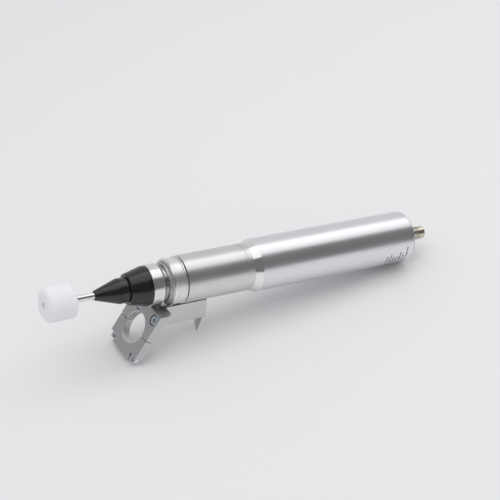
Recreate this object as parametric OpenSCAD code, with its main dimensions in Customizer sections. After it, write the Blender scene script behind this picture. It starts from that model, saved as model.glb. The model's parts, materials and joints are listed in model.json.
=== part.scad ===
// Motorised lens cleaning pen with a tilted accessory clamp.
// Millimetres, +Z up, resting on its clamp plate and on the rear rim of the tube.
// Local tool frame: x runs from the face of the soft tip to the connector.

/* [Soft tip and spindle] */
// Diameter of the soft cleaning tip
tip_d = 20.6; // [14:0.2:26]
// Length of the soft cleaning tip
tip_len = 17.8; // [12:0.2:24]
// Corner rounding of the soft cleaning tip
tip_round = 3.2; // [1:0.1:5]
// Diameter of the visible spindle
spindle_d = 4; // [3:0.1:5]
// Bare spindle between the tip and the nose
stick_out = 13; // [8:0.5:20]

/* [Nose] */
// Length of the slim front cone
nose_cone_len = 14.5; // [10:0.5:20]
// Diameter of the slim front part
nose_slim_d = 14.9; // [13:0.1:16]
// Small end of the slim cone
nose_small_d = 5.6; // [5:0.1:7]
// Diameter of the bright collar
collar_d = 24.4; // [23:0.1:26]

/* [Body] */
// Diameter of the bayonet ring
ring_d = 28.2; // [27.6:0.1:28.6]
// Diameter of the front housing
front_d = 28.4; // [27:0.1:30]
// Length of the front housing up to the shoulder
front_len = 43.6; // [40:0.2:60]
// Diameter of the main housing
main_d = 32; // [30:0.5:36]
// Length of the main housing
main_len = 113.3; // [90:0.5:150]

/* [Accessory clamp] */
// Width and height of the clamp plate
plate_w = 33; // [30:0.5:40]
// Thickness of the clamp plate
plate_t = 5.4; // [5:0.1:7]
// Diameter of the clamp bore
bore_d = 19; // [14:0.5:20]
// Tilt of the clamp plate
plate_tilt = 29.3; // [15:0.1:40]
// Width of the carrier bar
bar_w = 6; // [6:0.5:8]
// Rear end of the carrier bar
bar_end = 102.1; // [98:0.1:110]

/* [Gearhead] */
// Gear module
gear_m = 0.4; // [0.35:0.01:0.42]
// Teeth on the sun pinion
z_sun = 12; // [12:6:12]
// Teeth on each planet
z_planet = 18; // [18:6:18]

/* [Hidden] */
$fn = 72;
eps = 0.01;
// stations along the tool axis
x_nose = tip_len + stick_out;
x_slim = x_nose + nose_cone_len;
x_cone = x_slim + 5.4;
x_collar = x_cone + 12.6;
x_neck = x_collar + 8;
x_ring = x_neck + 2.3;
x_front = x_ring + 11.2;
x_main = x_front + front_len;
x_cap = x_main + main_len;
x_plug = x_cap + 1.5;
x_end = x_plug + 15.8;
// bearings, 6 x 13 x 5
x_b1 = x_collar - 7.3;
x_b2 = x_neck + 0.7;
brg_w = 5;
brg_ri = 3;
brg_ro = 6.5;
ball_r = 0.98;
ball_pr = 4.75;
n_ball = 8;
// bayonet
lug_h = 18;
lug_r = 26;
// coupling, gearhead and motor
x_cp = x_front + 4.2;
x_web = x_front + 14.2;
x_gear = x_web + 2.5;
x_pl = x_gear + 7.2;
x_motor = x_gear + 16.5;
x_mend = x_motor + 40;
z_ring = z_sun + 2 * z_planet;
cd = gear_m * (z_sun + z_planet) / 2;
// accessory clamp, front face centre in the tool frame
pc_x = 58.1;
pc_z = -27.3;
ph = plate_w / 2;
bar_z0 = -26.2;
bar_z1 = -13.9;
gap = 0.4;
bar_y = -3;
notch_w = 7.2;
notch_h = 4.5;
cl_y = ph - 3.6;
// resting pose: back bottom edge of the plate and rear rim of the tube on z = 0
st = sin(plate_tilt);
ct = cos(plate_tilt);
foot_x = pc_x - ph * st + plate_t * ct;
foot_z = pc_z - ph * ct - plate_t * st;
lean = atan((-main_d / 2 - foot_z) / (x_cap - foot_x));
lift = foot_x * sin(lean) - foot_z * cos(lean);
x_min = tip_round * cos(lean) - (tip_d / 2 - tip_round) * sin(lean) - tip_round;
x_max = x_end * cos(lean) + 3.7 * sin(lean);
shift = -(x_min + x_max) / 2;

// ---------- helpers ----------
module place() translate([shift, 0, lift]) rotate([0, lean, 0]) children();
module axial(x) translate([x, 0, 0]) rotate([0, 90, 0]) children();
module rev(p) rotate([0, 90, 0]) rotate_extrude(convexity = 8) polygon(p);
module rod(x0, x1, r) axial(x0) cylinder(h = x1 - x0, r = r);
module tube(x0, x1, ro, ri) rev([[ri, x0], [ro, x0], [ro, x1], [ri, x1]]);
module plate_frame() translate([pc_x, 0, pc_z]) rotate([0, plate_tilt, 0]) children();
function arc(cx, cy, r, a0, a1, n) =
  [for (i = [0:n]) let (a = a0 + (a1 - a0) * i / n) [cx + r * cos(a), cy + r * sin(a)]];
// wedge of a disc between two angles, as a flat outline
module wedge(r, a0, a1) {
  polygon(concat([[0, 0]], [for (i = [0:8]) let (a = a0 + (a1 - a0) * i / 8)
    [r * cos(a), r * sin(a)]]));
}
// part of a tube between two angles (measured about +x, 0 = sideways)
module arc_block(x0, x1, ro, ri, a0, a1) {
  axial(x0) linear_extrude(x1 - x0) intersection() {
    difference() { circle(r = ro); circle(r = ri); }
    wedge(ro * 1.6, a0, a1);
  }
}
module hex(x0, x1, af) axial(x0) linear_extrude(x1 - x0)
  polygon([for (i = [0:5]) [af / sqrt(3) * cos(60 * i), af / sqrt(3) * sin(60 * i)]]);
// involute gear outline: tooth half angle at radius r
function inv(a) = tan(a) * 180 / PI - a;
function flank(r, rp, z, bl) = let (rb = rp * cos(25), q = max(r, rb))
  90 / z - bl / rp * 90 / PI + inv(25) - inv(acos(rb / q));
function gear_pts(z, m, ad, de, bl, ph0) = let (rp = z * m / 2, r0 = rp - de, r1 = rp + ad)
  [for (i = [0:z - 1]) for (k = [-4:4]) if (k != 0)
    let (s = k < 0 ? -1 : 1, j = k < 0 ? -k : k,
      r = k < 0 ? r0 + (r1 - r0) * (4 - j) / 3 : r0 + (r1 - r0) * (4 - j) / 3,
      a = ph0 + 360 / z * i + s * flank(r, rp, z, bl)) [r * cos(a), r * sin(a)]];
module gear2d(z, m, ad, de, bl, ph0) polygon(gear_pts(z, m, ad, de, bl, ph0));
// socket head cap screw along +z, head on top of z = 0, shank below
module cap_screw(r, head_r, head_h, len, key) {
  difference() {
    union() {
      cylinder(h = head_h, r = head_r);
      translate([0, 0, -len]) cylinder(h = len + eps, r = r);
    }
    translate([0, 0, head_h * 0.45]) linear_extrude(head_h)
      polygon([for (i = [0:5]) [key / sqrt(3) * cos(60 * i), key / sqrt(3) * sin(60 * i)]]);
  }
}

// ---------- soft tip and spindle ----------
module cleaning_tip() color([0.95, 0.95, 0.96]) place() {
  r = tip_d / 2;
  q = tip_round;
  rev(concat([[1.9, 0]], arc(r - q, q, q, -90, 0, 8), arc(r - q, tip_len - q, q, 0, 90, 8),
    [[5, tip_len], [5, 6], [1.9, 6]]));
}
module tip_core() color([0.85, 0.85, 0.82]) place() {
  r = spindle_d / 2;
  rev([[1.0, 6], [5, 6], [5, tip_len + 0.6], [3.2, tip_len + 0.6], [3.2, tip_len + 0.9],
    [r, tip_len + 0.9], [r, 9], [1.0, 9]]);
}
module tip_screw() color([0.7, 0.72, 0.75]) place()
  translate([6, 0, 0]) rotate([0, -90, 0]) cap_screw(1.0, 1.75, 2, 8, 1.5);
module spindle() color([0.8, 0.8, 0.8]) place() {
  r = spindle_d / 2;
  rev([[1.0, 9], [r - 0.2, 9], [r, 9.2], [r, x_b1 - 3], [brg_ri, x_b1 - 2], [brg_ri, x_b1 + brg_w],
    [4, x_b1 + brg_w], [4, x_b2], [brg_ri, x_b2], [brg_ri, x_b2 + 7], [2.5, x_b2 + 7],
    [2.5, x_front + 5.2], [0, x_front + 5.2], [0, 15], [1.0, 15]]);
}

// ---------- nose ----------
module nose_tip() color([0.06, 0.06, 0.06]) place() {
  r = nose_slim_d / 2;
  s = nose_small_d / 2;
  rev([[2.25, x_nose], [s - 0.3, x_nose], [s, x_nose + 0.4], [r - 0.1, x_slim - 0.2],
    [r, x_slim + 0.2], [r, x_cone - 0.7], [r - 0.35, x_cone - 0.5], [r - 0.35, x_cone],
    [6, x_cone], [6, x_cone + 4.2], [5, x_cone + 4.2], [5, x_slim - 1.3], [2.25, x_slim - 1.3]]);
}
module shaft_seal() color([0.12, 0.12, 0.12]) place()
  rev([[2.05, x_slim + 1], [2.4, x_slim - 0.6], [3.6, x_slim - 1.3], [5, x_slim - 1.3],
    [5, x_slim + 2.7], [3.6, x_slim + 2.7], [3.6, x_slim + 0.6], [2.6, x_slim + 1.6],
    [2.05, x_slim + 1.6]]);
module nose_cone() color([0.06, 0.06, 0.06]) place() {
  c = collar_d / 2;
  rev(concat([[6, x_cone], [8.7, x_cone], [9.15, x_cone + 0.45], [c - 0.25, x_collar - 1.5]],
    arc(c - 1, x_collar - 1.1, 0.8, 20, 80, 4),
    [[c - 0.9, x_collar], [8, x_collar], [8, x_b1 - 1], [6, x_b1 - 1]]));
}
module nose_body() color([0.8, 0.8, 0.8]) place() {
  c = collar_d / 2;
  rev(concat([[5.7, x_b1 - 0.7], [8, x_b1 - 0.7], [8, x_collar], [c - 0.5, x_collar],
    [c, x_collar + 0.4], [c, x_neck - 1.3], [c - 1, x_neck - 0.1]],
    arc(11.7, x_neck + 1.15, 1.25, 270, 152, 7),
    [[10.6, x_neck + 1.9], [10.6, x_ring + 3.4], [11.6, x_ring + 3.4], [11.6, x_ring + 6],
    [9.9, x_ring + 6], [9.9, x_front + 1.5], [7.9, x_front + 1.5], [7.9, x_ring + 5.3],
    [brg_ro, x_ring + 5.3], [brg_ro, x_b2 + 6], [7, x_b2 + 6], [7, x_b2 + brg_w],
    [brg_ro, x_b2 + brg_w], [brg_ro, x_b1], [5.7, x_b1]]));
}
module bearing_ring(x, ro, ri) difference() {
  tube(x, x + brg_w, ro, ri);
  axial(x + brg_w / 2) rotate_extrude(convexity = 6) translate([ball_pr, 0])
    circle(r = ball_r + 0.02, $fn = 36);
}
module bearing_outer_rings() color([0.7, 0.7, 0.72]) place() {
  bearing_ring(x_b1, brg_ro, 5.4);
  bearing_ring(x_b2, brg_ro, 5.4);
}
module bearing_inner_rings() color([0.7, 0.7, 0.72]) place() {
  bearing_ring(x_b1, 4.1, brg_ri);
  bearing_ring(x_b2, 4.1, brg_ri);
}
module bearing_balls() color([0.85, 0.85, 0.87]) place()
  for (x = [x_b1, x_b2]) for (i = [0:n_ball - 1]) translate([x + brg_w / 2, 0, 0])
    rotate([360 / n_ball * i, 0, 0]) translate([0, ball_pr, 0]) sphere(r = ball_r, $fn = 32);
module bearing_cages() color([0.75, 0.6, 0.3]) place()
  for (x = [x_b1, x_b2]) difference() {
    tube(x + 1.1, x + 3.9, 5.1, 4.4);
    for (i = [0:n_ball - 1]) translate([x + brg_w / 2, 0, 0]) rotate([360 / n_ball * i, 0, 0])
      translate([0, 3.6, 0]) rotate([-90, 0, 0]) cylinder(h = 2.4, r = ball_r + 0.04);
  }
module bearing_spacer() color([0.75, 0.75, 0.78]) place()
  tube(x_b1 + brg_w, x_b2 - 1.6, brg_ro, 5.5);
module preload_spring() color([0.65, 0.65, 0.6]) place()
  rev([[5.5, x_b2 - 1.6], [6.0, x_b2 - 1.6], [6.45, x_b2 - 0.8], [6.45, x_b2], [5.9, x_b2],
    [5.5, x_b2 - 0.8]]);
module retaining_ring() color([0.3, 0.3, 0.3]) place() difference() {
  tube(x_b2 + brg_w, x_b2 + 5.9, 7, 5.9);
  translate([x_b2 + 4, -2.2, 3]) cube([4, 4.4, 8]);
}

// ---------- bayonet ring ----------
module lock_ring() color([0.72, 0.71, 0.68]) place() {
  r = ring_d / 2;
  union() {
    rev(concat([[10.66, x_ring], [11.1, x_ring]], arc(r + 0.1, x_ring - 0.55, 2.75, 168, 99, 6),
      arc(r - 0.75, x_ring + 2.85, 0.75, -50, 80, 6),
      [[r - 0.5, x_ring + 3.7], [r - 0.5, x_ring + 9.2]],
      arc(r - 0.6, x_ring + 9.9, 0.6, -70, 90, 6),
      [[r - 1, x_ring + 11], [12.3, x_ring + 11], [12.3, x_ring + 6.1], [11.75, x_ring + 6.1],
      [11.75, x_ring + 3.2], [10.66, x_ring + 3.2]]));
    for (i = [0:2])
      arc_block(x_ring + 8.5, x_ring + 10.3, 12.4, 11.0, 120 * i - lug_r, 120 * i + lug_r);
  }
}
module bayonet_stop_pin() color([0.75, 0.75, 0.77]) place()
  translate([0, 11.65, 0]) rod(x_ring + 8.7, x_front + 2.5, 0.6);

// ---------- housings ----------
module front_housing() color([0.74, 0.73, 0.7]) place() {
  r = front_d / 2;
  difference() {
    union() {
      rev([[9.9, x_ring + 6.0], [10.9, x_ring + 6.0], [10.9, x_front], [r - 0.4, x_front],
        [r, x_front + 0.4], [r, x_main - 4.2], [r - 0.12, x_main - 4.1], [r - 0.12, x_main - 3.8],
        [r, x_main - 3.7], [r, x_main - 3.0], [r - 0.12, x_main - 2.9], [r - 0.12, x_main - 2.6],
        [r, x_main - 2.5], [r, x_main], [13.3, x_main], [13.3, x_main + 13.6], [11, x_main + 13.6],
        [11, x_gear], [5, x_gear], [5, x_web], [9.9, x_web]]);
      for (i = [0:2]) arc_block(x_ring + 6.8, x_ring + 8.4, 12.2, 10.8, 120 * i - lug_h, 120 * i + lug_h);
    }
    translate([0, 11.65, 0]) rod(x_front - 1, x_front + 2.5, 0.6);
    for (x = [87.5, 93]) translate([x, bar_y, -r - 1]) cylinder(h = r + 1 - 10.8, r = 1.25);
    for (i = [0:2]) rotate([120 * i + 60, 0, 0]) translate([0, 7.5, 0]) {
      rod(x_web - 1, x_gear + 1, 1.0);
      axial(x_web - eps) cylinder(h = 1.0, r1 = 2.0, r2 = 1.0);
    }
  }
}
module main_housing() color([0.76, 0.77, 0.78]) place() {
  r = main_d / 2;
  rev([[13.3, x_main], [front_d / 2 + 0.1, x_main], [r - 0.15, x_main + 4.8], [r, x_main + 5.1],
    [r, x_cap - 0.3], [r - 0.3, x_cap], [14.4, x_cap], [14.4, x_main + 13.6],
    [13.3, x_main + 13.6]]);
}
module end_cap() color([0.7, 0.71, 0.72]) place() difference() {
  rev([[4, x_cap - 1.9], [8, x_cap - 1.9], [8, x_cap - 7.7], [14.4, x_cap - 7.7],
    [14.4, x_cap - 5.6], [13.2, x_cap - 5.6], [13.2, x_cap - 3.6], [14.4, x_cap - 3.6],
    [14.4, x_cap], [15.4, x_cap], [15.4, x_cap + 1.1], [15.0, x_plug], [4, x_plug]]);
  for (s = [-1, 1]) translate([0, 11 * s, 0]) rod(x_plug - 2, x_plug + 1, 1.1);
}
module end_cap_o_ring() color([0.08, 0.08, 0.08]) place()
  rev([[13.2, x_cap - 5.4], [13.9, x_cap - 5.55], [14.4, x_cap - 5.0], [14.4, x_cap - 4.2],
    [13.9, x_cap - 3.65], [13.2, x_cap - 3.8]]);

// ---------- coupling ----------
module hub_jaws(a) for (i = [0:2])
  arc_block(x_cp, x_cp + 4, 6.8, 3.2, 120 * i + a - 25, 120 * i + a + 25);
module coupling_front_hub() color([0.72, 0.73, 0.75]) place() {
  tube(x_cp - 6, x_cp, 6.8, 2.5);
  hub_jaws(0);
}
module coupling_rear_hub() color([0.72, 0.73, 0.75]) place() {
  tube(x_cp + 4, x_cp + 9.4, 6.8, 2);
  hub_jaws(60);
}
module coupling_spider() color([0.8, 0.15, 0.1]) place() {
  tube(x_cp + 0.15, x_cp + 3.85, 3.2, 2.6);
  for (i = [0:5]) arc_block(x_cp + 0.15, x_cp + 3.85, 6.6, 3.1, 60 * i + 25, 60 * i + 35);
}

// ---------- gearhead ----------
module gearhead_flange() color([0.6, 0.6, 0.62]) place() difference() {
  rev([[2.04, x_web + 0.2], [5, x_web + 0.2], [5, x_gear], [11, x_gear], [11, x_gear + 2.3],
    [2.04, x_gear + 2.3]]);
  for (i = [0:2]) rotate([120 * i + 60, 0, 0]) translate([0, 7.5, 0])
    rod(x_gear - 1, x_gear + 2, 1.0);
}
module gearhead_screws() color([0.7, 0.72, 0.75]) place()
  for (i = [0:2]) rotate([120 * i + 60, 0, 0]) translate([0, 7.5, 0]) difference() {
    union() {
      rod(x_web + 0.5, x_gear + 2, 1.0);
      axial(x_web) cylinder(h = 0.95, r1 = 1.94, r2 = 1.0);
    }
    hex(x_web - 1, x_web + 0.7, 1.1);
  }
module gearhead_ring_gear() color([0.55, 0.55, 0.57]) place() difference() {
  rod(x_gear + 2.3, x_motor, 11);
  rod(x_gear + 2, x_pl - 0.7, 9.6);
  rod(x_pl + 5.7, x_motor + 1, 9.6);
  axial(x_pl - 1) linear_extrude(7)
    gear2d(z_ring, gear_m, gear_m * 1.15, gear_m * 0.75, -0.05, 180 / z_ring);
}
module planet_carrier() color([0.62, 0.62, 0.64]) place() difference() {
  rev([[0, x_cp + 4.2], [2, x_cp + 4.2], [2, x_gear + 3.8], [7.7, x_gear + 3.8],
    [7.7, x_gear + 6.8], [0, x_gear + 6.8]]);
  for (i = [0:2]) rotate([120 * i, 0, 0]) translate([0, cd, 0]) rod(x_gear + 4.4, x_gear + 8, 1.0);
}
module planet_pins() color([0.78, 0.78, 0.8]) place()
  for (i = [0:2]) rotate([120 * i, 0, 0]) translate([0, cd, 0]) {
    rod(x_gear + 4.4, x_pl + 5.3, 1.0);
    rod(x_pl + 5.3 - eps, x_pl + 5.8, 1.5);
  }
module planet(i) rotate([120 * i, 0, 0]) translate([0, cd, 0]) axial(x_pl) linear_extrude(5)
  difference() {
    gear2d(z_planet, gear_m, gear_m * 0.75, gear_m * 1.05, 0.05, 180 / z_planet + 90);
    circle(r = 1.04, $fn = 40);
  }
module planet_gear_a() color([0.8, 0.65, 0.3]) place() planet(0);
module planet_gear_b() color([0.8, 0.65, 0.3]) place() planet(1);
module planet_gear_c() color([0.8, 0.65, 0.3]) place() planet(2);
module sun_pinion() color([0.8, 0.65, 0.3]) place() axial(x_pl) linear_extrude(6.6) difference() {
  gear2d(z_sun, gear_m, gear_m * 0.75, gear_m * 1.05, 0.05, 90);
  circle(r = 1.2, $fn = 40);
}

// ---------- motor ----------
module motor_shaft() color([0.8, 0.8, 0.82]) place() rod(x_pl, x_mend + 2, 1.2);
module rotor_core() color([0.4, 0.4, 0.42]) place() difference() {
  rod(x_motor + 9, x_motor + 27, 8.3);
  rod(x_motor + 8, x_motor + 28, 1.2);
  for (i = [0:4]) rotate([72 * i, 0, 0]) {
    translate([x_motor + 8, 4.2, -1.6]) cube([20, 3, 3.2]);
    translate([x_motor + 8, 4.2, -0.5]) cube([20, 6, 1]);
  }
}
module rotor_windings() color([0.72, 0.4, 0.2]) place() {
  for (x = [x_motor + 5.6, x_motor + 27]) tube(x, x + 3.4, 7.4, 2.4);
  for (i = [0:4]) rotate([72 * i, 0, 0]) translate([x_motor + 8.9, 4.3, -1.5])
    cube([18.2, 2.8, 3]);
  rev([[1.2, x_motor + 31], [2.7, x_motor + 31], [2.7, x_motor + 35], [1.2, x_motor + 35]]);
  rev([[1.2, x_motor + 30.3], [2.5, x_motor + 30.3], [2.5, x_motor + 31.1], [1.2, x_motor + 31.1]]);
}
module motor_can() color([0.6, 0.6, 0.62]) place()
  rev([[1.25, x_motor], [11, x_motor], [11, x_mend], [10.2, x_mend], [10.2, x_motor + 1.6],
    [3, x_motor + 1.6], [3, x_motor + 3.4], [1.25, x_motor + 3.4]]);
module motor_magnets() color([0.25, 0.25, 0.27]) place()
  for (s = [0, 180]) arc_block(x_motor + 6, x_motor + 30, 10.2, 8.6, s - 62, s + 62);
module motor_end_bell() color([0.1, 0.1, 0.1]) place() difference() {
  rev([[1.25, x_mend - 1.6], [10.2, x_mend - 1.6], [10.2, x_mend], [11, x_mend], [11, x_mend + 3],
    [4, x_mend + 3], [4, x_mend + 4.5], [1.25, x_mend + 4.5]]);
  for (s = [-1, 1]) translate([x_mend - 3, 7 * s - 1.2, -0.3]) cube([8, 2.4, 0.6]);
}
module motor_brushes() color([0.3, 0.3, 0.3]) place() for (s = [-1, 1]) {
  translate([x_motor + 32, s > 0 ? 2.75 : -5.75, -1]) cube([2.4, 3, 2]);
  translate([x_motor + 32.9, s > 0 ? 5.75 - eps : -8.2, -1]) cube([0.6, 2.45 + eps, 2]);
  translate([x_motor + 32.9, 7 * s - 1.2, -0.3]) cube([x_mend - x_motor - 32.9 + 6, 2.4, 0.6]);
}

// ---------- electronics ----------
module board_chassis() color([0.15, 0.15, 0.16]) place() difference() {
  union() {
    rod(x_mend + 8, x_mend + 10.5, 14.4);
    rod(x_mend + 70, x_mend + 72.5, 14.4);
    for (s = [-1, 1]) translate([x_mend + 10, s > 0 ? 9.6 : -12.8, -3]) cube([61, 3.2, 6]);
  }
  translate([x_mend + 9.5, -12.05, -0.8]) cube([62, 24.1, 1.6]);
  for (x = [x_mend + 7, x_mend + 69]) for (s = [-1, 1]) {
    rod(x, x + 5, 5.5);
    translate([0, 0, 10 * s]) rod(x, x + 5, 2);
  }
}
module driver_board() color([0.05, 0.3, 0.15]) place()
  translate([x_mend + 9.5, -12.05, -0.8]) cube([62, 24.1, 1.6]);
module board_components() color([0.1, 0.1, 0.1]) place() {
  translate([x_mend + 30, -4, 0.8]) cube([8, 8, 1.4]);
  for (i = [0:2]) translate([x_mend + 45, -8 + 5.5 * i, 0.8]) cube([6, 4.2, 2]);
  translate([x_mend + 15, -4, 0.8]) cube([6, 8, 5]);
  translate([x_mend + 60, -5, 0.8]) cube([7, 10, 5]);
  translate([x_mend + 20, -6, -3.8]) cube([10, 12, 3]);
  for (i = [0:5]) translate([x_mend + 36 + 4 * i, -7, -1.8]) cube([2, 1.2, 1]);
}
module capacitor() color([0.2, 0.2, 0.5]) place()
  translate([x_mend + 42, 2, -5.8]) rotate([0, 90, 0]) {
    cylinder(h = 1.2, r = 4.8);
    translate([0, 0, 1.1]) cylinder(h = 0.9, r = 4.5);
    translate([0, 0, 1.9]) cylinder(h = 14.1, r = 5);
  }
module lead_wires() color([0.6, 0.1, 0.1]) place() {
  for (s = [-1, 1]) translate([0, 2.2 * s, 2.6]) rod(x_mend + 4.5, x_mend + 15, 0.6);
  for (i = [0:3]) translate([0, 1.3 * cos(45 + 90 * i), 1.3 * sin(45 + 90 * i)])
    rod(x_mend + 71.5, x_cap - 7.5, 0.5);
}

// ---------- rear connector ----------
module connector_body() color([0.78, 0.77, 0.72]) place() rev(concat(
  [[3, x_cap - 6], [3.7, x_cap - 6], [4, x_cap - 5.6], [4, x_plug], [3.45, x_plug],
  [3.45, x_plug + 1.6]],
  [for (i = [0:9]) for (k = [0:1]) [k == 0 ? 4 : 3.62, x_plug + 1.7 + i + 0.5 * k]],
  [[4, x_plug + 12], [4, x_end - 0.4], [3.7, x_end], [3.15, x_end], [3.15, x_plug + 6],
  [3, x_plug + 6]]));
module connector_seal() color([0.08, 0.08, 0.08]) place()
  rev([[3.45, x_plug], [4.6, x_plug], [4.85, x_plug + 0.8], [4.6, x_plug + 1.6],
    [3.45, x_plug + 1.6]]);
module connector_nut() color([0.78, 0.77, 0.72]) place() difference() {
  hex(x_cap - 4.6, x_cap - 1.9, 11);
  rod(x_cap - 6, x_cap, 4);
}
module connector_insert() color([0.05, 0.05, 0.05]) place() difference() {
  rod(x_cap - 6, x_plug + 6.5, 3);
  for (i = [0:3]) translate([0, 1.3 * cos(45 + 90 * i), 1.3 * sin(45 + 90 * i)])
    rod(x_cap - 7, x_plug + 7, 0.5);
}
module connector_pins() color([0.85, 0.7, 0.3]) place()
  for (i = [0:3]) translate([0, 1.3 * cos(45 + 90 * i), 1.3 * sin(45 + 90 * i)])
    rod(x_cap - 7.5, x_plug + 13.5, 0.5);

// ---------- accessory clamp ----------
module plate_half(p) rotate([90, 0, 0]) translate([0, 0, -ph]) linear_extrude(plate_w) polygon(p);
module clamp_bore() {
  translate([-1, 0, 0]) rotate([0, 90, 0]) cylinder(h = plate_t + 2, r = bore_d / 2);
  translate([-eps, 0, 0]) rotate([0, 90, 0])
    cylinder(h = 0.4, r1 = bore_d / 2 + 0.4, r2 = bore_d / 2);
  translate([plate_t - 0.4 + eps, 0, 0]) rotate([0, 90, 0])
    cylinder(h = 0.4, r1 = bore_d / 2, r2 = bore_d / 2 + 0.4);
}
module clamp_upper() color([0.68, 0.68, 0.7]) place() plate_frame() difference() {
  plate_half([[0, gap / 2], [plate_t, gap / 2], [plate_t, ph + plate_t * st / ct], [0, ph]]);
  clamp_bore();
  for (s = [-1, 1]) translate([plate_t / 2, cl_y * s, 0]) cylinder(h = 8, r = 1.5);
  for (y = [-11.75, 5.75]) translate([0, y, 12.4]) rotate([0, 90, 0]) {
    translate([0, 0, -1]) cylinder(h = 4.2, r = 3.25);
    cylinder(h = plate_t + 1, r = 1.5);
  }
}
module clamp_cap() color([0.68, 0.68, 0.7]) place() plate_frame() difference() {
  plate_half([[0, -ph], [plate_t, -ph], [plate_t, -gap / 2], [0, -gap / 2]]);
  clamp_bore();
  for (s = [-1, 1]) {
    translate([plate_t / 2, cl_y * s, -ph]) cylinder(h = ph, r = 1.5);
    translate([-1, s > 0 ? ph - notch_w : -ph - 1, -ph - 1])
      cube([plate_t + 2, notch_w + 1, notch_h + 1]);
  }
}
module clamp_screws() color([0.72, 0.76, 0.8]) place() plate_frame()
  for (s = [-1, 1]) translate([plate_t / 2, cl_y * s, -ph + notch_h]) rotate([180, 0, 0])
    cap_screw(1.5, 2.7, 3, 20, 2.5);
module plate_screws() color([0.72, 0.76, 0.8]) place() plate_frame()
  for (y = [-11.75, 5.75]) translate([3.2, y, 12.4]) rotate([0, -90, 0])
    cap_screw(1.5, 2.75, 3, 5, 2.5);
module bracket_bar() color([0.72, 0.72, 0.74]) place() difference() {
  union() {
    translate([60, bar_y - bar_w / 2, bar_z0]) cube([bar_end - 60, bar_w, bar_z1 - bar_z0]);
    plate_frame() translate([plate_t, bar_y - 11.2, 8.9]) cube([2.8, 22.4, 24]);
  }
  plate_frame() translate([-40, -30, -30]) cube([40 + plate_t, 60, 80]);
  plate_frame() rotate([0, 90, 0]) cylinder(h = 60, r = bore_d / 2 + 1);
  translate([50, -30, bar_z1]) cube([60, 60, 30]);
  rod(60, bar_end + 1, front_d / 2);
  rod(60, x_front + 0.1, ring_d / 2 + 0.4);
  plate_frame() for (y = [-11.75, 5.75]) translate([0, y, 12.4]) rotate([0, 90, 0])
    cylinder(h = 9.4, r = 1.5);
  for (x = [87.5, 93]) translate([x, bar_y, bar_z0 - 1]) {
    cylinder(h = 4.4, r = 2.4);
    cylinder(h = 20, r = 1.25);
  }
  translate([98.9, bar_y, bar_z0 - 1]) cylinder(h = 7, r = 1.25);
}
module bar_screws() color([0.72, 0.76, 0.8]) place()
  for (x = [87.5, 93]) translate([x, bar_y, bar_z0 + 3.4]) rotate([180, 0, 0])
    cap_screw(1.25, 2.25, 2.5, 12, 2);
module cone_foot() color([0.85, 0.85, 0.87]) place() {
  translate([98.9, bar_y, bar_z0 - 1]) cylinder(h = 7, r = 1.25);
  translate([98.9, bar_y, bar_z0 - 11]) cylinder(h = 10, r1 = 0.25, r2 = 2.7);
  translate([98.9, bar_y, bar_z0 - 1 - eps]) cylinder(h = 1 + eps, r = 2.7);
}

cleaning_tip();
tip_core();
tip_screw();
spindle();
nose_tip();
shaft_seal();
nose_cone();
nose_body();
bearing_outer_rings();
bearing_inner_rings();
bearing_balls();
bearing_cages();
bearing_spacer();
preload_spring();
retaining_ring();
lock_ring();
bayonet_stop_pin();
front_housing();
coupling_front_hub();
coupling_spider();
coupling_rear_hub();
gearhead_flange();
gearhead_ring_gear();
gearhead_screws();
planet_carrier();
planet_pins();
planet_gear_a();
planet_gear_b();
planet_gear_c();
sun_pinion();
motor_shaft();
rotor_core();
rotor_windings();
motor_can();
motor_magnets();
motor_end_bell();
motor_brushes();
main_housing();
board_chassis();
driver_board();
board_components();
capacitor();
lead_wires();
end_cap();
end_cap_o_ring();
connector_body();
connector_seal();
connector_nut();
connector_insert();
connector_pins();
clamp_upper();
clamp_cap();
clamp_screws();
plate_screws();
bracket_bar();
bar_screws();
cone_foot();
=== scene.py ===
"""Visual model of a motor-driven lens cleaning pen with a tilted accessory clamp.

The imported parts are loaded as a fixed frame. The parts that can be seen from
outside are turned, milled and moulded again here with their fillets, threads
and fine edges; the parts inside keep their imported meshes. Every surface gets a
procedural finish. Sizes are in millimetres along and around the pen line.
"""

import json
import logging
import math
from abc import ABC, abstractmethod
from dataclasses import dataclass, field
from enum import Enum
from typing import Callable, Iterable, Sequence

import bmesh
import bpy
from mathutils import Matrix, Vector

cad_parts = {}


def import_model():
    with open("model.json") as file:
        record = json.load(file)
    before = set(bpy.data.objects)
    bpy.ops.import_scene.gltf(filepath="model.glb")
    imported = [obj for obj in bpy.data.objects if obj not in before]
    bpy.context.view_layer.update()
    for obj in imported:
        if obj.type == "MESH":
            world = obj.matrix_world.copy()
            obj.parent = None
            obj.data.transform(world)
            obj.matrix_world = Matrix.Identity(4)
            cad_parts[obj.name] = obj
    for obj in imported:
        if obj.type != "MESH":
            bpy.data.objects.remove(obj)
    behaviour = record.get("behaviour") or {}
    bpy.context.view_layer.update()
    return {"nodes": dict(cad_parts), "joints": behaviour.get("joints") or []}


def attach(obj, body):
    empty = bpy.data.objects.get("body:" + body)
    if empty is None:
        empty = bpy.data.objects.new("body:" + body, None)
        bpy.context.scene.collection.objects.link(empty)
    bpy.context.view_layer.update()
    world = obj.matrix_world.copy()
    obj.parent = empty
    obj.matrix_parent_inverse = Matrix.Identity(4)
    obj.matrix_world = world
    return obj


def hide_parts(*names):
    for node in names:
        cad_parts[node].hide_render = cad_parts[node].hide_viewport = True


MM = 0.001
COLUMN_WIDTH = 190.0
SHARP_BEND, FULL_BEND, LEAST_BEND, FLAT_BEND = (math.radians(a) for a in (30, 20, 6, 0.5))
DOWNWARD = Matrix.Rotation(math.pi / 2, 4, "Y")
# The groove attribute carries painted shade for grooves and hollows.
WORN_EDGE, BRIGHT_CUT, GROOVE_SHADE = "worn_edge", "bright_cut", "groove"
log = logging.getLogger("lens_cleaning_pen")

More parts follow.
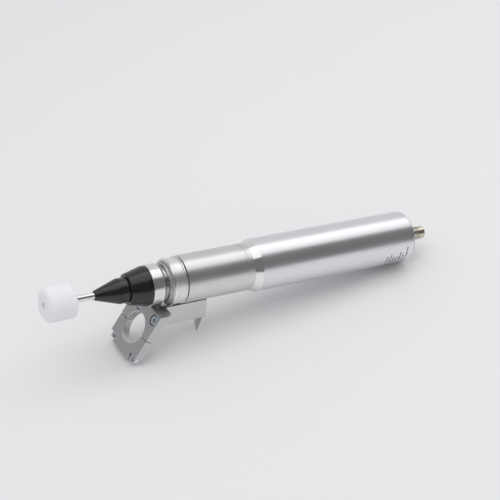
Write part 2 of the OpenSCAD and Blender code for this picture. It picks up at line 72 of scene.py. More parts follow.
Colour = tuple[float, float, float]
Mesh = bmesh.types.BMesh
Socket = bpy.types.NodeSocket
Feeds = dict[str | int, object]
Corner = tuple[float, ...]
FaceTest = Callable[[Vector], float]


# ---------------------------------------------------------------- pen line


@dataclass(frozen=True)
class PenLine:
    """The straight line that the whole pen is turned about.

    Attributes:
        origin: Centre of the tip's front face, in metres.
        lean: Angle by which the rear end dips, in radians.
    """

    origin: Vector
    lean: float

    @classmethod
    def from_joints(cls, joints: Sequence[dict]) -> "PenLine":
        """Reads the line from the hinge that the tip spins on."""
        spin = next(j for j in joints if j["name"] == "tip_spin")
        axis = Vector(spin["axis"])
        return cls(Vector(spin["pos_m"]), math.atan2(-axis.z, axis.x))

    def place(self) -> Matrix:
        """The matrix from pen coordinates to the row frame."""
        return Matrix.Translation(self.origin) @ Matrix.Rotation(self.lean, 4, "Y")


# ---------------------------------------------------------------- node trees


class Wiring:
    """A node tree that is built one named step at a time."""

    def __init__(self, tree: bpy.types.NodeTree) -> None:
        """Starts on an emptied tree."""
        self.tree = tree
        self.tree.nodes.clear()
        self.column = 0

    def node(
        self, kind: str, label: str = "", feeds: Feeds | None = None, **settings: object
    ) -> bpy.types.Node:
        """Adds a node.

        Args:
            kind: The node's type name.
            label: What the node is for.
            feeds: What to feed its inputs, by name or number.
            settings: Properties to set on it.

        Returns:
            The new node.
        """
        made = self.tree.nodes.new(kind)
        made.label = label
        made.location = (self.column * COLUMN_WIDTH, 0.0)
        self.column += 1
        for key, value in settings.items():
            setattr(made, key, value)
        self.fill(made, feeds or {})
        return made

    def feed(self, target: Socket, source: object) -> None:
        """Links a socket, or sets a plain value, on an input. Colours go without their alpha."""
        if isinstance(source, bpy.types.NodeSocket):
            self.tree.links.new(source, target)
        else:
            target.default_value = (*source, 1.0) if target.type == "RGBA" else source

    def fill(self, node: bpy.types.Node, feeds: Feeds) -> None:
        """Feeds several inputs of a node."""
        for key, source in feeds.items():
            self.feed(node.inputs[key], source)

    def math(
        self, operation: str, a: object, b: object = 0.0, c: object = 0.0, clamp: bool = False
    ) -> Socket:
        """Adds a Math node and returns its value."""
        feeds = {0: a, 1: b, 2: c}
        made = self.node(
            "ShaderNodeMath", operation.lower(), feeds, operation=operation, use_clamp=clamp
        )
        return made.outputs[0]

    def span(
        self, value: Socket, low: float, high: float, to_low: float = 0.0, to_high: float = 1.0
    ) -> Socket:
        """Maps a value smoothly from one range to another."""
        feeds = {
            "Value": value,
            "From Min": low,
            "From Max": high,
            "To Min": to_low,
            "To Max": to_high,
        }
        made = self.node("ShaderNodeMapRange", "span", feeds, interpolation_type="SMOOTHSTEP")
        return made.outputs["Result"]

    def mix(self, factor: object, a: object, b: object) -> Socket:
        """Mixes two colours."""
        feeds = {"Factor": factor, "A": a, "B": b}
        return self.node("ShaderNodeMix", "mix", feeds, data_type="RGBA").outputs["Result"]

    def noise(
        self, vector: Socket, scale: object, detail: float = 2.0, rough: float = 0.5
    ) -> Socket:
        """Adds a 3D noise and returns its value."""
        feeds = {"Vector": vector, "Scale": scale, "Detail": detail, "Roughness": rough}
        return self.node("ShaderNodeTexNoise", "noise", feeds).outputs["Fac"]

    def axes(self, vector: Socket, label: str) -> bpy.types.NodeOutputs:
        """Takes a vector apart into X, Y and Z."""
        return self.node("ShaderNodeSeparateXYZ", label, {0: vector}).outputs


def effect_group(
    name: str, inputs: dict[str, tuple[str, float]], outputs: dict[str, str]
) -> tuple[Wiring, bpy.types.NodeOutputs, bpy.types.NodeInputs]:
    """Starts a shader node group with named sockets and a vector as its first input.

    Args:
        name: The group's name.
        inputs: Kind and default of each further input.
        outputs: Kind of each output.

    Returns:
        The wiring of the group, the sockets it is given and the sockets it has to feed.
    """
    tree = bpy.data.node_groups.new(name, "ShaderNodeTree")
    for label, (kind, default) in {"Vector": ("Vector", 0.0), **inputs}.items():
        socket = tree.interface.new_socket(label, in_out="INPUT", socket_type=f"NodeSocket{kind}")
        if kind == "Float":
            socket.default_value = default
    for label, kind in outputs.items():
        tree.interface.new_socket(label, in_out="OUTPUT", socket_type=f"NodeSocket{kind}")
    w = Wiring(tree)
    return w, w.node("NodeGroupInput").outputs, w.node("NodeGroupOutput").inputs


class Effect(Enum):
    """The shared surface effects, one node group each."""

    LATHE = "lathe_lines"
    BLAST = "blast_grain"
    DRIFT = "tone_drift"
    HANDLING = "handling_marks"
    EDGE = "edge_shine"


@dataclass
class EffectShelf:
    """Builds each effect group once and hands it out."""

    groups: dict[Effect, bpy.types.NodeTree] = field(default_factory=dict)

    def get(self, effect: Effect) -> bpy.types.NodeTree:
        """The node group of an effect."""
        if effect not in self.groups:
            self.groups[effect] = getattr(self, effect.value)(effect.value)
        return self.groups[effect]

    def lathe_lines(self, name: str) -> bpy.types.NodeTree:
        """Fine lines that a turning tool leaves around the pen line."""
        w, given, wanted = effect_group(name, {"Spacing": ("Float", 0.2)}, {"Lines": "Float"})
        along = w.axes(given["Vector"], "along the pen")["X"]
        turns = w.math("DIVIDE", along, w.math("MULTIPLY", given["Spacing"], MM))
        fine = w.node("ShaderNodeTexNoise", "tool lines", noise_dimensions="1D")
        w.fill(fine, {"W": turns, "Scale": 1.0, "Detail": 3.0})
        w.feed(wanted["Lines"], w.span(fine.outputs["Fac"], 0.28, 0.72))
        return w.tree

    def blast_grain(self, name: str) -> bpy.types.NodeTree:
        """The even fine grain of a bead-blasted or moulded surface."""
        w, given, wanted = effect_group(name, {"Size": ("Float", 0.3)}, {"Grain": "Float"})
        scale = w.math("DIVIDE", 1.0 / MM, given["Size"])
        grain = w.noise(given["Vector"], scale, 3.0, 0.6)
        w.feed(wanted["Grain"], w.span(grain, 0.25, 0.75))
        return w.tree

    def tone_drift(self, name: str) -> bpy.types.NodeTree:
        """A slow drift of tone over a surface."""
        w, given, wanted = effect_group(
            name,
            {"Color": ("Color", 0.0), "Size": ("Float", 12.0), "Amount": ("Float", 0.05)},
            {"Color": "Color"},
        )
        scale = w.math("DIVIDE", 1.0 / MM, given["Size"])
        drift = w.math("SUBTRACT", w.noise(given["Vector"], scale, 3.0), 0.5)
        gain = w.math("MULTIPLY_ADD", drift, w.math("MULTIPLY", given["Amount"], 2.0), 1.0)
        feeds = {"Color": given["Color"], "Value": gain}
        w.feed(wanted["Color"], w.node("ShaderNodeHueSaturation", "tone", feeds).outputs["Color"])
        return w.tree

    def handling_marks(self, name: str) -> bpy.types.NodeTree:
        """Soft smears and a few hairline scratches from handling."""
        w, given, wanted = effect_group(name, {}, {"Smears": "Float", "Scratches": "Float"})
        feeds = {"Vector": given["Vector"], "Scale": (0.35, 1.0, 1.0)}
        drawn = w.node("ShaderNodeMapping", "smears run along the pen", feeds).outputs[0]
        w.feed(wanted["Smears"], w.span(w.noise(drawn, 90.0, 4.0, 0.55), 0.42, 0.75))
        feeds = {
            "Vector": given["Vector"],
            "Rotation": (0.6, 0.35, 0.9),
            "Scale": (60.0, 1700.0, 320.0),
        }
        askew = w.node("ShaderNodeMapping", "scratches run askew", feeds).outputs[0]
        thin = w.span(w.noise(askew, 1.0, 0.0), 0.79, 0.83)
        patch = w.span(w.noise(given["Vector"], 70.0, 1.0), 0.5, 0.62)
        w.feed(wanted["Scratches"], w.math("MULTIPLY", thin, patch))
        return w.tree

    def edge_shine(self, name: str) -> bpy.types.NodeTree:
        """Bright edges and bright-cut bands, and painted shade in grooves, read from the mesh's
        own attributes.
        """
        w, given, wanted = effect_group(
            name, {"Edges": ("Float", 0.5)}, {"Mask": "Float", "PaintedShade": "Float"}
        )
        worn, cut, groove = (
            w.node("ShaderNodeAttribute", name, attribute_name=name).outputs["Fac"]
            for name in (WORN_EDGE, BRIGHT_CUT, GROOVE_SHADE)
        )
        patchy = w.span(w.noise(given["Vector"], 420.0, 3.0), 0.3, 0.6, 0.45, 1.0)
        edge = w.math("MULTIPLY", w.math("MULTIPLY", worn, patchy), given["Edges"])
        w.feed(wanted["Mask"], w.math("MAXIMUM", edge, cut, clamp=True))
        # Painted shade: the groove attribute, broken up by noise, darkens grooves as if shade
        # fell there.
        w.feed(wanted["PaintedShade"], w.math("MULTIPLY", groove, patchy))
        return w.tree


# ---------------------------------------------------------------- finishes


class Surface(Enum):
    """How a surface was left by its last tool."""

    TURNED = "turned"
    BLASTED = "blasted"


class Coat(Wiring):
    """A material in the making, with its Principled node and the pen coordinates."""

    def __init__(self, name: str, line: PenLine, shelf: EffectShelf) -> None:
        """Starts the material."""
        self.material = bpy.data.materials.new(name)
        self.material.use_nodes = True
        super().__init__(self.material.node_tree)
        self.shelf = shelf
        own = self.node("ShaderNodeTexCoord", "own coordinates").outputs["Object"]
        feeds = {"Vector": own, "Location": line.origin, "Rotation": (0.0, line.lean, 0.0)}
        turn = self.node("ShaderNodeMapping", "pen coordinates", feeds, vector_type="TEXTURE")
        self.vector = turn.outputs[0]
        self.body = self.node("ShaderNodeBsdfPrincipled", "surface")
        self.node("ShaderNodeOutputMaterial", "out", {"Surface": self.body.outputs[0]})

    def effect(self, effect: Effect, **values: object) -> bpy.types.NodeOutputs:
        """Places an effect group with its own values and returns what it gives."""
        made = self.node("ShaderNodeGroup", effect.value, node_tree=self.shelf.get(effect))
        self.fill(made, {"Vector": self.vector, **values})
        return made.outputs

    def fine(self, surface: Surface, size: float) -> Socket:
        """The fine tool lines or grain of a surface."""
        if surface is Surface.TURNED:
            return self.effect(Effect.LATHE, Spacing=size)["Lines"]
        return self.effect(Effect.BLAST, Size=size)["Grain"]

    def relief(self, height: Socket, strength: float, deep: float = 0.02) -> None:
        """Gives the surface a fine relief, whose depth is in millimetres."""
        feeds = {"Strength": strength, "Distance": deep * MM, "Height": height}
        bump = self.node("ShaderNodeBump", "fine relief", feeds)
        self.feed(self.body.inputs["Normal"], bump.outputs[0])


@dataclass(frozen=True)
class PrintBlock:
    """Rows of plain dashes printed around the rear of a housing.

    Attributes:
        radius: Radius of the printed housing, in millimetres.
        front: Where the first row starts along the pen line.
        pitch: Distance between rows.
        rows: Number of rows.
        half_height: Half the height of a dash as a share of the pitch.
        low: Lower end of every row, around the housing from the side.
        high: Upper end of the longest rows.
        ragged: How far the shortest row ends from the longest.
        tall: How much further the last row reaches up.
        fineness: How many dashes there are in a length.
        gap: Noise level above which there is ink.
        ink: Colour of the ink.
    """

    radius: float = 16.0
    front: float = 222.2
    pitch: float = 2.3
    rows: float = 7.0
    half_height: float = 0.2
    low: float = -24.0
    high: float = -0.6
    ragged: float = 3.6
    tall: float = 6.3
    fineness: float = 1.5
    gap: float = 0.41
    ink: Colour = (0.05, 0.05, 0.053)

    def mask(self, w: Coat) -> Socket:
        """A mask that is 1 on the dashes."""
        place = w.axes(w.vector, "place of the print")
        angle = w.math("ARCTAN2", place["Z"], w.math("MULTIPLY", place["Y"], -1.0))
        around = w.math("MULTIPLY", angle, self.radius)
        along = w.math("SUBTRACT", w.math("DIVIDE", place["X"], MM), self.front)
        row = w.math("DIVIDE", along, self.pitch)
        number = w.math("FLOOR", row)
        middle = w.math("ABSOLUTE", w.math("SUBTRACT", w.math("FRACT", row), 0.5))
        length = w.node("ShaderNodeTexWhiteNoise", "row length", noise_dimensions="1D")
        w.feed(length.inputs["W"], number)
        top = w.math("MULTIPLY_ADD", length.outputs["Value"], -self.ragged, self.high)
        last = w.math("GREATER_THAN", number, self.rows - 1.5)
        top = w.math("MULTIPLY_ADD", last, self.tall, top)
        dash = w.node("ShaderNodeTexNoise", "dashes", noise_dimensions="1D")
        seed = w.math("MULTIPLY_ADD", number, 37.0, around)
        w.fill(dash, {"W": seed, "Scale": self.fineness, "Detail": 0.0})
        inked = w.math("GREATER_THAN", dash.outputs["Fac"], self.gap)
        for limit in (
            w.math("GREATER_THAN", row, 0.0),
            w.math("LESS_THAN", row, self.rows),
            w.math("LESS_THAN", middle, self.half_height),
            w.math("LESS_THAN", around, top),
            w.math("GREATER_THAN", around, self.low),
        ):
            inked = w.math("MULTIPLY", inked, limit)
        return inked


@dataclass(frozen=True)
class Finish(ABC):
    """One finish: a material slot of the record and how it looks."""

    slot: str
    colour: Colour
    rough: float

    @abstractmethod
    def coat(self, w: Coat) -> None:
        """Wires the finish's look."""

    def make(self, line: PenLine, shelf: EffectShelf) -> bpy.types.Material:
        """Builds the finish's material."""
        w = Coat(self.slot, line, shelf)
        self.coat(w)
        return w.material

    def shade(self, gain: float) -> Colour:
        """A lighter or darker version of the colour."""
        return tuple(c * gain for c in self.colour)


@dataclass(frozen=True)
class MetalFinish(Finish):
    """Bare or plated metal with its tool lines or blasted grain.

    Attributes:
        surface: How the surface was left.
        pitch: Spacing of the lines or size of the grain, in millimetres.
        relief: Strength of the fine relief.
        spread: How much the relief changes the roughness.
        shine: How much smoother edges and bright-cut bands are.
        edge: How strongly narrow edges shine.
        drift: How much the tone drifts over the part.
        streak: How dark the low lines or grain are.
        cut_colour: Colour of bright-cut bands and edges.
        printed: What is printed on it, if anything.
    """

    surface: Surface = Surface.TURNED
    pitch: float = 0.2
    relief: float = 0.15
    spread: float = 0.06
    shine: float = 0.14
    edge: float = 0.6
    drift: float = 0.03
    streak: float = 0.08
    cut_colour: Colour = (0.88, 0.88, 0.875)
    printed: PrintBlock | None = None

    def coat(self, w: Coat) -> None:
        """Wires the metal."""
        fine = w.fine(self.surface, self.pitch)
        marks = w.effect(Effect.HANDLING)
        edges = w.effect(Effect.EDGE, Edges=self.edge)
        drift = w.effect(Effect.DRIFT, Color=self.colour, Size=14.0, Amount=self.drift)["Color"]
        low = w.math("MULTIPLY", w.math("SUBTRACT", 1.0, fine), self.streak)
        colour = w.mix(edges["Mask"], w.mix(low, drift, self.shade(0.9)), self.cut_colour)
        # Painted shade: grooves are darkened towards a third of the colour.
        colour = w.mix(edges["PaintedShade"], colour, self.shade(0.3))
        rough = w.math("MULTIPLY_ADD", w.math("SUBTRACT", fine, 0.5), self.spread, self.rough)
        rough = w.math("MULTIPLY_ADD", marks["Smears"], 0.045, rough)
        rough = w.math("MULTIPLY_ADD", marks["Scratches"], 0.12, rough)
        rough = w.math("MULTIPLY_ADD", edges["Mask"], -self.shine, rough, clamp=True)
        metal = 1.0
        if self.printed:
            ink = self.printed.mask(w)
            colour = w.mix(ink, colour, self.printed.ink)
            metal = w.math("SUBTRACT", 1.0, w.math("MULTIPLY", ink, 0.9))
        w.fill(w.body, {"Base Color": colour, "Roughness": rough, "Metallic": metal})
        w.relief(fine, self.relief)


@dataclass(frozen=True)
class PlasticFinish(Finish):
    """Turned or moulded plastic, rubber, lacquer and the like.

    Attributes:
        surface: How the surface was left.
        pitch: Spacing of the lines or size of the grain, in millimetres.
        relief: Strength of the fine relief.
        index: Index of refraction, which sets how strong the gloss is.
    """

    surface: Surface = Surface.BLASTED
    pitch: float = 0.3
    relief: float = 0.2
    index: float = 1.5

    def coat(self, w: Coat) -> None:
        """Wires the plastic."""
        fine = w.fine(self.surface, self.pitch)
        marks = w.effect(Effect.HANDLING)
        mask = w.effect(Effect.EDGE, Edges=0.7)["Mask"]
        drift = w.effect(Effect.DRIFT, Color=self.colour, Size=9.0, Amount=0.08)["Color"]
        lighter = tuple(min(1.0, c + 0.03) for c in self.shade(1.25))
        colour = w.mix(w.math("MULTIPLY", mask, 0.5), drift, lighter)
        rough = w.math("MULTIPLY_ADD", w.math("SUBTRACT", fine, 0.5), 0.08, self.rough)
        rough = w.math("MULTIPLY_ADD", marks["Smears"], 0.06, rough, clamp=True)
        w.fill(w.body, {"Base Color": colour, "Roughness": rough, "IOR": self.index})
        w.relief(fine, self.relief)


@dataclass(frozen=True)
class SiliconeFinish(Finish):
    """Milky soft silicone that lets light in, to a depth in millimetres."""

    depth: float = 4.0

    def coat(self, w: Coat) -> None:
        """Wires the silicone."""
        grain = w.fine(Surface.BLASTED, 0.7)
        smears = w.effect(Effect.HANDLING)["Smears"]
        drift = w.effect(Effect.DRIFT, Color=self.colour, Size=6.0, Amount=0.03)["Color"]
        rough = w.math("MULTIPLY_ADD", smears, 0.1, self.rough)
        w.fill(w.body, {"Base Color": drift, "Roughness": rough, "IOR": 1.41})
        w.fill(w.body, {"Subsurface Weight": 0.7, "Subsurface Radius": (1.0, 1.0, 1.0)})
        w.feed(w.body.inputs["Subsurface Scale"], self.depth * MM)
        w.relief(grain, 0.12, 0.05)


BLASTED, TURNED = Surface.BLASTED, Surface.TURNED

FINISHES: tuple[Finish, ...] = (
    SiliconeFinish("soft_white", (0.81, 0.816, 0.83), 0.5),
    PlasticFinish("hub_plastic", (0.78, 0.78, 0.75), 0.42),
    MetalFinish("zinc_screw", (0.60, 0.68, 0.76), 0.2, pitch=0.08, edge=0.8),
    MetalFinish("bright_steel", (0.80, 0.77, 0.74), 0.15, pitch=0.12, relief=0.08),
    PlasticFinish("black_acetal", (0.002, 0.002, 0.0024), 0.17, TURNED, 0.12, 0.04, 1.6),
    PlasticFinish("seal_rubber", (0.018, 0.018, 0.018), 0.55, pitch=0.25),
    MetalFinish("turned_aluminium", (0.76, 0.76, 0.745), 0.25, TURNED, 0.22, 0.06, 0.05),
    MetalFinish("bearing_steel", (0.70, 0.70, 0.72), 0.14, pitch=0.1),
    MetalFinish("cage_brass", (0.72, 0.56, 0.28), 0.3),
    MetalFinish("spring_steel", (0.45, 0.45, 0.47), 0.3),
    MetalFinish("ring_aluminium", (0.80, 0.795, 0.77), 0.5, BLASTED, 0.25, 0.12, 0.04, 0.24),
    MetalFinish(
        "warm_aluminium", (0.725, 0.72, 0.705), 0.32, TURNED, 0.3, 0.008, 0.02, streak=0.03
    ),
    MetalFinish(
        "cool_aluminium",
        (0.80, 0.805, 0.825),
        0.28,
        pitch=0.3,
        relief=0.006,
        spread=0.012,
        streak=0.02,
        printed=PrintBlock(),
    ),
    MetalFinish("cap_aluminium", (0.66, 0.665, 0.68), 0.3, pitch=0.3),
    MetalFinish("coupling_aluminium", (0.68, 0.69, 0.71), 0.25, pitch=0.3),
    PlasticFinish("spider_rubber", (0.55, 0.05, 0.035), 0.5),
    MetalFinish("gear_steel", (0.46, 0.46, 0.48), 0.3, pitch=0.15),
    MetalFinish("pinion_brass", (0.78, 0.60, 0.28), 0.25),
    MetalFinish("lamination", (0.30, 0.30, 0.32), 0.42, pitch=0.35, relief=0.8),
    MetalFinish("copper_wire", (0.72, 0.34, 0.15), 0.3, pitch=0.5, relief=0.9),
    MetalFinish("motor_steel", (0.55, 0.55, 0.57), 0.3),
    MetalFinish("magnet", (0.16, 0.16, 0.18), 0.5, BLASTED, 0.3, 0.4),
    PlasticFinish("black_plastic", (0.02, 0.02, 0.02), 0.45),
    PlasticFinish("brush_graphite", (0.07, 0.065, 0.06), 0.5),
    PlasticFinish("board_green", (0.012, 0.12, 0.05), 0.35, pitch=0.5),
    PlasticFinish("component_black", (0.025, 0.025, 0.027), 0.5),
    PlasticFinish("capacitor_can", (0.10, 0.12, 0.22), 0.35),
    PlasticFinish("wire_red", (0.48, 0.03, 0.03), 0.4),
    MetalFinish("nickel_brass", (0.66, 0.59, 0.51), 0.12, pitch=0.1, relief=0.05, shine=0.05),
    MetalFinish("gold_pin", (0.86, 0.66, 0.28), 0.2, pitch=0.1),
    MetalFinish(
        "plate_aluminium", (0.62, 0.62, 0.628), 0.42, BLASTED, 0.35, 0.3, 0.12, 0.2, 0.75, 0.04
    ),
    MetalFinish(
        "bar_aluminium", (0.68, 0.68, 0.675), 0.4, BLASTED, 0.4, 0.25, 0.1, 0.15, 0.7, 0.04
    ),
    # Darkened colour: painted shade for the cone under the bar, which sits in the tool's shadow;
    # the bearing balls share it.
    MetalFinish("polished_steel", (0.26, 0.26, 0.27), 0.08, pitch=0.1, relief=0.02),
)


# ---------------------------------------------------------------- lathe and mill


def arc(
    x: float, r: float, radius: float, first: float, last: float, count: int = 12
) -> list[Corner]:
    """Corners along a circular arc of an outline.

    Args:
        x: Centre of the arc along the pen line.
        r: Centre of the arc as a radius.
        radius: Radius of the arc.
        first: First angle in degrees, from outwards towards the rear.
        last: Last angle.
        count: Number of facets.

    Returns:
        The corners in order.
    """
    angles = (math.radians(first + (last - first) * i / count) for i in range(count + 1))
    return [(x + radius * math.sin(a), r + radius * math.cos(a)) for a in angles]


def rounded(bm: Mesh, geom: list, width: float, facets: int, affect: str) -> None:
    """Rounds corners or edges."""
    bmesh.ops.bevel(
        bm,
        geom=geom,
        offset=width,
        offset_type="OFFSET",
        segments=facets,
        profile=0.5,
        affect=affect,
        clamp_overlap=True,
        material=-1,
    )


def spun(bm: Mesh, geom: list, angle: float, steps: int, **settings: object) -> None:
    """Spins corners, edges or a face about the x axis, by an angle in radians."""
    bmesh.ops.spin(
        bm,
        geom=geom,
        cent=(0, 0, 0),
        axis=(1, 0, 0),
        angle=angle,
        steps=steps,
        use_duplicate=False,
        **settings,
    )


def turned(outline: Sequence[Corner], closed: bool = True, steps: int = 112) -> Mesh:
    """Turns an outline about the x axis.

    Args:
        outline: The corners in order, each with its place along the pen line and its radius.
            A rounded corner also has its fillet's radius and number of facets.
        closed: Whether the last corner joins the first, as on a hollow part.
        steps: Number of facets around.

    Returns:
        The turned mesh, in millimetres.
    """
    bm = bmesh.new()
    corners = [bm.verts.new((x, 0.0, r)) for x, r, *_ in outline]
    ends = corners[1:] + corners[:1] if closed else corners[1:]
    for a, b in zip(corners, ends):
        bm.edges.new((a, b))
    for (_, _, *fillet), corner in zip(outline, corners):
        if fillet:
            rounded(bm, [corner], fillet[0], fillet[1], "VERTICES")
    spun(bm, bm.verts[:] + bm.edges[:], math.tau, steps, use_merge=True)
    bmesh.ops.remove_doubles(bm, verts=bm.verts[:], dist=1e-4)
    bmesh.ops.delete(bm, geom=[e for e in bm.edges if not e.link_faces], context="EDGES")
    bmesh.ops.recalc_face_normals(bm, faces=bm.faces[:])
    return bm


def arc_lug(
    bm: Mesh, ends: tuple[float, float], radii: tuple[float, float], middle: float, half: float
) -> None:
    """Adds a lug, part of a ring between two angles.

    Args:
        bm: The mesh to add to.
        ends: Its front and rear along the pen line.
        radii: Its inner and outer radius.
        middle: Angle of its middle, in degrees from +y towards +z.
        half: Half its width, in degrees.
    """
    others = set(bm.faces)
    (x0, x1), (inner, outer) = ends, radii
    section = ((x0, inner), (x1, inner), (x1, outer), (x0, outer))
    corners = [bm.verts.new((x, r, 0.0)) for x, r in section]
    face = bm.faces.new(corners)
    turn = Matrix.Rotation(math.radians(middle - half), 3, "X")
    bmesh.ops.rotate(bm, verts=corners, cent=(0, 0, 0), matrix=turn)
    spun(bm, [face], math.radians(2 * half), 10)
    bmesh.ops.recalc_face_normals(bm, faces=[f for f in bm.faces if f not in others])


def nowhere(_: Vector) -> float:
    """Says of every place that it is plain."""
    return 0.0


def mark_edges(bm: Mesh, narrow: float, bright: FaceTest, dull: FaceTest) -> None:
    """Writes the edge, bright-cut and groove attributes and sets sharp edges.

    Args:
        bm: The mesh, in millimetres in pen coordinates.
        narrow: Faces narrower than this and bent at an edge count as an edge.
        bright: Says of a face's middle whether it is bright-cut.
        dull: Says of a face's middle how much painted shade falls in its groove.
    """
    worn, cut, shade_layer = (
        bm.loops.layers.float.new(name) for name in (WORN_EDGE, BRIGHT_CUT, GROOVE_SHADE)
    )
    bends = {e: e.calc_face_angle_signed(0.0) for e in bm.edges}
    for edge, bend in bends.items():
        edge.smooth = abs(bend) < SHARP_BEND
    for face in bm.faces:
        face.smooth = True
        lengths = sorted(e.calc_length() for e in face.edges)
        across = face.calc_area() / max(lengths[-1], 1e-6)
        bend = max(bends[e] for e in face.edges)
        value = min(1.0, bend / FULL_BEND) if across < narrow and bend > LEAST_BEND else 0.0
        middle = face.calc_center_median()
        shine, in_shade = float(bright(middle)), float(dull(middle))
        # The groove value is painted shade, and worn edges do not show inside it.
        for loop in face.loops:
            loop[worn] = value * (1.0 - in_shade)
            loop[cut] = shine
            loop[shade_layer] = in_shade


@dataclass
class Bench:
    """Where finished pieces are put together.

    Attributes:
        line: The pen line.
        nodes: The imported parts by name.
        materials: The finishes by record slot.
    """

    line: PenLine
    nodes: dict[str, bpy.types.Object]
    materials: dict[str, bpy.types.Material]

    def fit(
        self,
        bm: Mesh,
        name: str,
        stands_for: Sequence[str],
        body: str,
        slot: str,
        narrow: float = 0.7,
        bright: FaceTest = nowhere,
        dull: FaceTest = nowhere,
    ) -> bpy.types.Object:
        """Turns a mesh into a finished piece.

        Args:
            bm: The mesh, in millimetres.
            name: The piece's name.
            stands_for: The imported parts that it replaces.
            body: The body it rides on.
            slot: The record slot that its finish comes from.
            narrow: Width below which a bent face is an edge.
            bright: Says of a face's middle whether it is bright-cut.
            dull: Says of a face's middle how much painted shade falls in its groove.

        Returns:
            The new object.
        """
        mark_edges(bm, narrow, bright, dull)
        bm.transform(self.line.place() @ Matrix.Scale(MM, 4))
        mesh = bpy.data.meshes.new(name)
        bm.to_mesh(mesh)
        bm.free()
        mesh.materials.append(self.materials[slot])
        piece = bpy.data.objects.new(name, mesh)
        bpy.context.scene.collection.objects.link(piece)
        even = piece.modifiers.new("even_shading", "WEIGHTED_NORMAL")
        even.keep_sharp = True
        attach(piece, body)
        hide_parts(*stands_for)
        replaced = ", ".join(stands_for)
        log.info("made %s for %s on %s, %d faces", name, replaced, body, len(mesh.polygons))
        return piece

    def dress(self, looks: dict[str, str]) -> None:
        """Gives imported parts, by slot and then names with spaces between, their finishes."""
        for slot, names in looks.items():
            for name in names.split():
                skins = self.nodes[name].data.materials
                skins.clear()
                skins.append(self.materials[slot])
            log.info("dressed %s in %s", names, slot)

    def copy_of(self, node: str) -> Mesh:
        """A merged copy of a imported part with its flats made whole, in pen coordinates."""
        bm = bmesh.new()
        bm.from_mesh(self.nodes[node].data)
        bm.transform(Matrix.Scale(1.0 / MM, 4) @ self.line.place().inverted())
        bmesh.ops.remove_doubles(bm, verts=bm.verts[:], dist=1e-3)
        bmesh.ops.dissolve_limit(
            bm, angle_limit=FLAT_BEND, verts=bm.verts[:], edges=bm.edges[:]
        )
        return bm


def broken_edges(bm: Mesh, width: float) -> Mesh:
    """Breaks the sharp edges of a milled part.

    Args:
        bm: The mesh.
        width: Width of the break, in millimetres.

    Returns:
        The same mesh.
    """
    sharp = [e for e in bm.edges if abs(e.calc_face_angle_signed(0.0)) > SHARP_BEND]
    rounded(bm, sharp, width, 2, "EDGES")
    bmesh.ops.dissolve_degenerate(bm, edges=bm.edges[:], dist=2e-4)
    return bm


# ---------------------------------------------------------------- screws


@dataclass(frozen=True)
class CapScrew:
    """A socket head cap screw, head forward along +x and its seat at x = 0.

    Attributes:
        head: Head radius.
        height: Head height.
        shank: Shank radius.
        length: Shank length.
        key: Hexagon size across flats.
        depth: Hexagon depth.
        ridges: Number of knurl ridges round the head.
    """

    head: float = 2.75
    height: float = 3.0
    shank: float = 1.5
    length: float = 6.2
    key: float = 2.5
    depth: float = 1.65
    ridges: int = 30

    def build(self) -> Mesh:
        """Turns the head and shank, knurls the head and sinks the hexagon."""
        rim = self.head - 0.55
        outline = [
            (self.height, rim), (self.height, self.head, 0.32, 3),
            (self.height * 0.45, self.head), (0.28, self.head), (0.0, self.head - 0.28),
            (0.0, self.shank), (-self.length + 0.3, self.shank),
            (-self.length, self.shank - 0.3), (-self.length, 0.0),
        ]
        bm = turned(outline, closed=False, steps=self.ridges * 2)
        for vert in bm.verts:
            radius = math.hypot(vert.co.y, vert.co.z)
            if abs(radius - self.head) < 0.02 and 0.2 < vert.co.x < self.height - 0.2:
                place = round(math.atan2(vert.co.z, vert.co.y) / math.pi * self.ridges)
                if place % 2:
                    vert.co.y *= 0.965
                    vert.co.z *= 0.965
        outer = [e for e in bm.edges if e.is_boundary]
        floor = bmesh.ops.create_circle(
            bm,
            cap_ends=True,
            segments=6,
            radius=self.key / math.sqrt(3),
            matrix=Matrix.Translation((self.height - self.depth, 0, 0)) @ DOWNWARD,
        )["verts"]
        sides = [e for e in bm.edges if e.verts[0] in floor and e.verts[1] in floor]
        walls = bmesh.ops.extrude_edge_only(bm, edges=sides)["geom"]
        top = [v for v in walls if isinstance(v, bmesh.types.BMVert)]
        bmesh.ops.translate(bm, verts=top, vec=(self.depth - 0.18, 0, 0))
        upper = [e for e in walls if isinstance(e, bmesh.types.BMEdge)]
        lip = bmesh.ops.extrude_edge_only(bm, edges=upper)["geom"]
        crown = [v for v in lip if isinstance(v, bmesh.types.BMVert)]
        bmesh.ops.translate(bm, verts=crown, vec=(0.18, 0, 0))
        bmesh.ops.scale(bm, verts=crown, vec=(1.0, 1.14, 1.14))
        inner = [e for e in lip if isinstance(e, bmesh.types.BMEdge)]
        bmesh.ops.bridge_loops(bm, edges=outer + inner)
        bmesh.ops.recalc_face_normals(bm, faces=bm.faces[:])
        return bm


def screw_set(screw: CapScrew, seats: Iterable[Matrix]) -> Mesh:
    """Sets the same screw in several seats, as one mesh."""
    whole = bmesh.new()
    for seat in seats:
        one = screw.build()
        one.transform(seat)
        mesh = bpy.data.meshes.new("one_screw")
        one.to_mesh(mesh)
        one.free()
        whole.from_mesh(mesh)
        bpy.data.meshes.remove(mesh)
    return whole


# ---------------------------------------------------------------- sub-assemblies


class SubAssembly(ABC):
    """A group of parts that are made together."""

    @abstractmethod
    def build(self, bench: Bench) -> None:
        """Builds the group's meshes and dresses them."""


